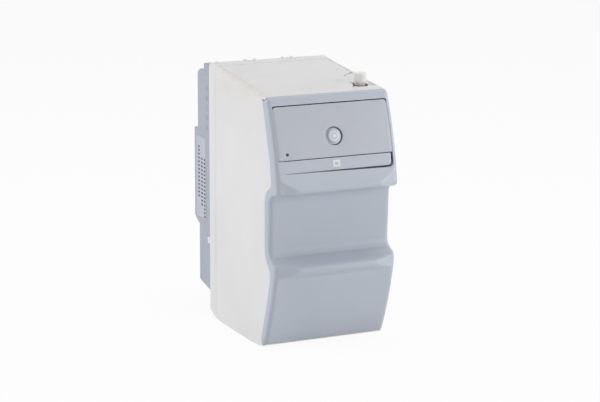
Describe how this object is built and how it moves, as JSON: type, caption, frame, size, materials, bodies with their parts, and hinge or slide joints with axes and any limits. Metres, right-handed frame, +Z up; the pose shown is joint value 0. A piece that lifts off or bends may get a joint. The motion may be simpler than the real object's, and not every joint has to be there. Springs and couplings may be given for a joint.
{
  "type": "prepaid electricity meter",
  "caption": "Wall-mounted prepaid electricity meter with off-white hood, stepped grip-lip fascia, flip-up door, service lid with seal post, and plug-in terminal base.",
  "frame": {"origin": "centre of the overall box in plan, at the hood's foot (z = 0)", "axes": "front face looks along -Y, wall plane faces +Y, +Z up, +X to the viewer's right"},
  "size_m": [0.105, 0.168, 0.2136],
  "materials": {
    "shell_white": "satin",
    "fascia_grey": "satin",
    "base_grey": "matte",
    "door_grey": "satin",
    "steel": "brushed",
    "dark_lens": "gloss",
    "button_grey": "satin",
    "mark_grey": "satin",
    "mark_light": "gloss",
    "magnet_nickel": "plated",
    "post_white": "satin",
    "battery_sleeve": "gloss",
    "nickel_strip": "plated",
    "black_plastic": "matte",
    "bezel_dark": "matte",
    "lcd_glass": "gloss",
    "pcb_green": "solder mask",
    "ribbon_grey": "satin",
    "core_iron": "varnished",
    "coil_tape": "tape",
    "capacitor_sleeve": "gloss",
    "film_yellow": "gloss",
    "varistor_blue": "gloss",
    "chip_black": "matte",
    "header_cream": "matte",
    "relay_white": "matte",
    "copper": "tinned copper",
    "brass": "machined",
    "label_film": "printed film",
    "label_ink": "ink"
  },
  "bodies": {
    "meter_body": {"hood": "shell_white", "fascia": "fascia_grey", "rear_base": "base_grey", "door_hinge_pins": "steel", "lid_hinge_pins": "steel", "service_tray": "shell_white", "battery_well": "shell_white", "battery": "battery_sleeve", "battery_clips": "nickel_strip", "reed_sensor": "black_plastic", "bezel": "bezel_dark", "lcd_frame": "black_plastic", "lcd_glass": "lcd_glass", "front_pcb": "pcb_green", "tact_switch": "black_plastic", "card_reader": "black_plastic", "optical_port": "dark_lens", "ribbon_cable": "ribbon_grey", "chassis": "black_plastic", "main_pcb": "pcb_green", "pcb_screws": "steel", "transformer_core": "core_iron", "transformer_coil": "coil_tape", "capacitors": "capacitor_sleeve", "film_capacitor": "film_yellow", "varistor": "varistor_blue", "microcontroller": "chip_black", "crystal": "steel", "pcb_header": "header_cream", "relay_case": "relay_white", "relay_links": "copper", "shunt": "copper", "contact_blades": "copper", "contact_jaws": "copper", "terminal_block": "black_plastic", "terminal_clamps": "brass", "terminal_screws": "steel", "hood_screws": "steel", "hood_clip": "shell_white", "rating_label": "label_film", "label_print": "label_ink"},
    "door": {"door": "door_grey", "led_lens": "dark_lens"},
    "push_button": {"push_button": "button_grey", "button_mark": "mark_grey"},
    "latch_tongue": {"latch_tongue": "fascia_grey", "latch_mark": "mark_light"},
    "top_lid": {"top_lid": "shell_white", "lid_magnet": "magnet_nickel"},
    "seal_post": {"seal_post": "post_white", "seal_cam": "steel"}
  },
  "joints": [
    {"name": "door_hinge", "type": "hinge", "parent": "meter_body", "child": "door", "pos_m": [0, -0.06157, 0.18992], "axis": [-1, 0, 0], "range_deg": [0, 88]},
    {"name": "push_slide", "type": "slide", "parent": "door", "child": "push_button", "axis": [0, 0.9567, -0.291], "range_m": [0, 0.0012], "stiffness_N_per_m": 400, "springref_m": -0.001},
    {"name": "latch_flex", "type": "hinge", "parent": "meter_body", "child": "latch_tongue", "pos_m": [-0.042, -0.07719, 0.1486], "axis": [0, 1, 0], "range_deg": [0, 0.75], "stiffness_Nm_per_rad": 2, "springref_deg": -1.15},
    {"name": "lid_hinge", "type": "hinge", "parent": "meter_body", "child": "top_lid", "pos_m": [0, 0.037, 0.20788], "axis": [-1, 0, 0], "range_deg": [0, 70]},
    {"name": "seal_turn", "type": "hinge", "parent": "meter_body", "child": "seal_post", "pos_m": [0.0382, -0.039, 0.20276], "axis": [0, 0, -1], "range_deg": [0, 90]}
  ]
}
